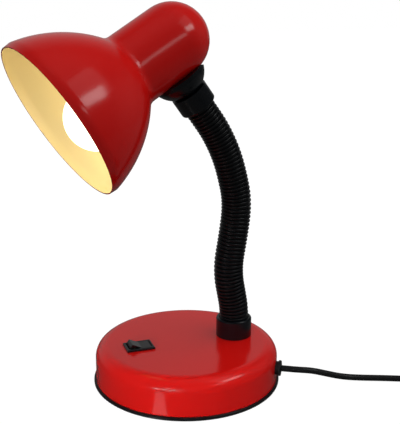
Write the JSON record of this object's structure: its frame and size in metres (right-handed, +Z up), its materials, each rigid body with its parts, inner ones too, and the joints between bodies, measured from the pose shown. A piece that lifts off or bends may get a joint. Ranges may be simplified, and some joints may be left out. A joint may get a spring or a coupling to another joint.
{
  "type": "gooseneck desk lamp",
  "caption": "Desk lamp with a round weighted base, a bendable ribbed neck, a bell-shaped shade that swivels, a rocker switch and a mains cord with a plug.",
  "frame": {"origin": "middle of the base on the table", "axes": "+Z up, -Y towards what the lamp lights, +X to the lamp's left side as it looks forward"},
  "size_m": [0.1884, 0.4064, 0.2797],
  "materials": {
    "red_paint": "gloss",
    "black_cover": "satin",
    "mat_rubber": "matte",
    "cast_weight": "rough",
    "zinc_steel": "zinc plated",
    "neck_steel": "satin",
    "neck_rubber": "satin",
    "black_gloss": "gloss",
    "grommet_rubber": "matte",
    "cord_pvc": "satin",
    "plug_pvc": "satin",
    "nickel": "nickel plated",
    "brass": "satin",
    "white_nylon": "matte",
    "holder_plastic": "satin",
    "opal_glass": "opal",
    "cap_alloy": "satin"
  },
  "bodies": {
    "base": {"anti_slip_mat": "mat_rubber", "bottom_cover": "black_cover", "base_shell": "red_paint", "shell_brackets": "zinc_steel", "base_weight": "cast_weight", "cover_screws": "zinc_steel", "cord_grommet": "grommet_rubber", "cord_clamp": "white_nylon", "clamp_screws": "zinc_steel", "terminal_block": "white_nylon", "switch_housing": "black_gloss", "switch_terminals": "brass", "switch_leads": "cord_pvc", "cord_inner": "cord_pvc", "neck_lead": "cord_pvc", "neck_base_collar": "black_gloss", "lower_nipple": "zinc_steel", "lower_washer": "zinc_steel", "lower_nut": "zinc_steel", "neck_sleeve_0": "neck_rubber", "neck_core_0": "neck_steel", "cord_run": "cord_pvc", "cord_coil": "cord_pvc", "coil_tie": "plug_pvc", "cord_tail": "cord_pvc", "plug_body": "plug_pvc", "plug_pins": "nickel"},
    "rocker": {"switch_rocker": "black_gloss"},
    "neck_link_1": {"neck_sleeve_1": "neck_rubber", "neck_core_1": "neck_steel"},
    "neck_link_2": {"neck_sleeve_2": "neck_rubber", "neck_core_2": "neck_steel"},
    "neck_link_3": {"neck_sleeve_3": "neck_rubber", "neck_core_3": "neck_steel"},
    "neck_link_4": {"neck_sleeve_4": "neck_rubber", "neck_core_4": "neck_steel"},
    "neck_link_5": {"neck_sleeve_5": "neck_rubber", "neck_core_5": "neck_steel"},
    "neck_link_6": {"neck_sleeve_6": "neck_rubber", "neck_core_6": "neck_steel"},
    "neck_link_7": {"neck_sleeve_7": "neck_rubber", "neck_core_7": "neck_steel"},
    "neck_link_8": {"neck_sleeve_8": "neck_rubber", "neck_core_8": "neck_steel", "neck_top_collar": "black_gloss", "upper_nipple": "zinc_steel"},
    "head": {"shade": "red_paint", "head_saddle": "black_gloss", "saddle_washer": "zinc_steel", "upper_nut": "zinc_steel", "holder_bracket": "zinc_steel", "holder_screws": "zinc_steel", "lampholder_body": "holder_plastic", "lampholder_shell": "nickel", "lampholder_contact": "brass"},
    "bulb": {"bulb_globe": "opal_glass", "bulb_cap": "cap_alloy", "bulb_contact": "nickel"}
  },
  "joints": [
    {"name": "switch", "type": "hinge", "parent": "base", "child": "rocker", "pos_m": [0, -0.037, 0.0289], "axis": [1, 0, 0], "range_deg": [0, 24]},
    {"name": "neck_bend_1", "type": "hinge", "parent": "base", "child": "neck_link_1", "pos_m": [0, 0.03756, 0.05418], "axis": [1, 0, 0], "range_deg": [-10, 10]},
    {"name": "neck_sway_2", "type": "hinge", "parent": "neck_link_1", "child": "neck_link_2", "pos_m": [0, 0.03413, 0.07388], "axis": [0, 0.9908, 0.1352], "range_deg": [-12, 12]},
    {"name": "neck_bend_3", "type": "hinge", "parent": "neck_link_2", "child": "neck_link_3", "pos_m": [0, 0.03424, 0.09381], "axis": [1, 0, 0], "range_deg": [-10, 10]},
    {"name": "neck_bend_4", "type": "hinge", "parent": "neck_link_3", "child": "neck_link_4", "pos_m": [0, 0.03738, 0.11356], "axis": [1, 0, 0], "range_deg": [-10, 10]},
    {"name": "neck_sway_5", "type": "hinge", "parent": "neck_link_4", "child": "neck_link_5", "pos_m": [0, 0.03907, 0.13347], "axis": [0, 0.9999, 0.015], "range_deg": [-12, 12]},
    {"name": "neck_bend_6", "type": "hinge", "parent": "neck_link_5", "child": "neck_link_6", "pos_m": [0, 0.03607, 0.15319], "axis": [1, 0, 0], "range_deg": [-12, 8]},
    {"name": "neck_sway_7", "type": "hinge", "parent": "neck_link_6", "child": "neck_link_7", "pos_m": [0, 0.03028, 0.17232], "axis": [0, 0.9304, 0.3665], "range_deg": [-12, 12]},
    {"name": "neck_bend_8", "type": "hinge", "parent": "neck_link_7", "child": "neck_link_8", "pos_m": [0, 0.02152, 0.19027], "axis": [1, 0, 0], "range_deg": [-12, 8]},
    {"name": "head_swivel", "type": "hinge", "parent": "neck_link_8", "child": "head", "pos_m": [0, -0.01859, 0.248], "axis": [0, -0.5736, 0.8192], "range_deg": [-90, 90]},
    {"name": "bulb_out", "type": "slide", "parent": "head", "child": "bulb", "axis": [0.1632, -0.7291, -0.6646], "range_m": [0, 0.03]}
  ],
  "couplings": [
    {"joint": "neck_bend_3", "follows": "neck_bend_1", "ratio": 1},
    {"joint": "neck_bend_4", "follows": "neck_bend_1", "ratio": 1},
    {"joint": "neck_sway_5", "follows": "neck_sway_2", "ratio": 1},
    {"joint": "neck_sway_7", "follows": "neck_sway_2", "ratio": 1},
    {"joint": "neck_bend_8", "follows": "neck_bend_6", "ratio": 1}
  ]
}
